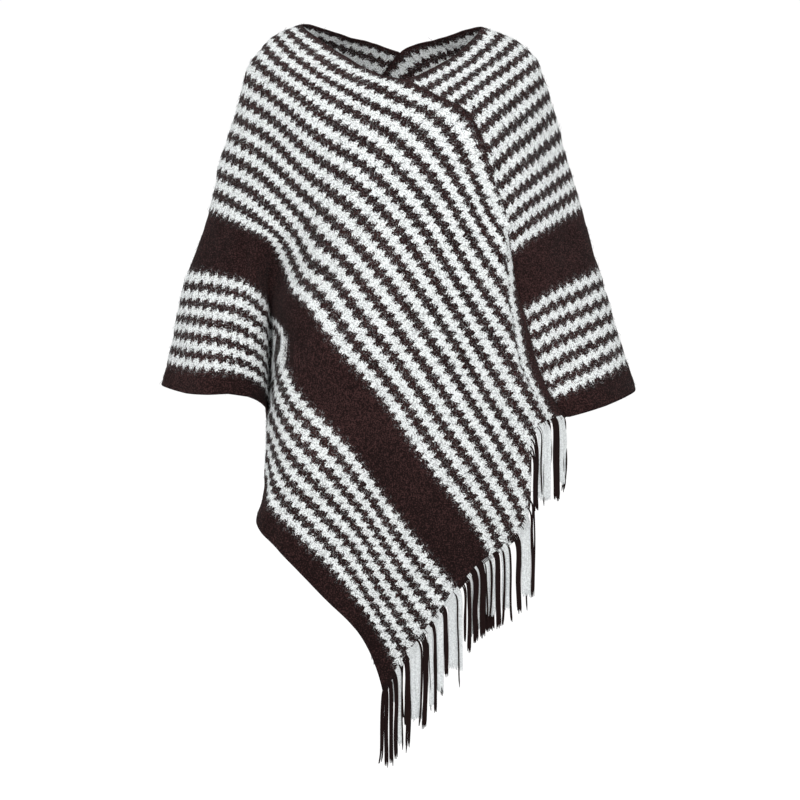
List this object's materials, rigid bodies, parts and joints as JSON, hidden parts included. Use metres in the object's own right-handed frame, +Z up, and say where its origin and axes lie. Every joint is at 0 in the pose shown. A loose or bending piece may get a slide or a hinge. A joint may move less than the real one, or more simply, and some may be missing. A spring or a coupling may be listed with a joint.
{
  "type": "knitted poncho sweater",
  "caption": "Knitted poncho in brown and white stripes, panels sewn into a slanted drape with a V neck and fringed ends, shaped as if worn.",
  "frame": {"origin": "middle of the neck opening, level with the tops of the shoulders, where the wearer's shoulders carry the garment", "axes": "+Z up, the front faces -Y, +X towards the wearer's left arm"},
  "size_m": [0.6153, 0.2799, 0.957],
  "materials": {
    "striped_knit": "matte, slightly fuzzy knit",
    "fringe_yarn": "matte loose yarn"
  },
  "bodies": {
    "root": {"panel_right": "striped_knit", "panel_left": "striped_knit", "fringe_front": "fringe_yarn", "fringe_back": "fringe_yarn"}
  },
  "joints": []
}
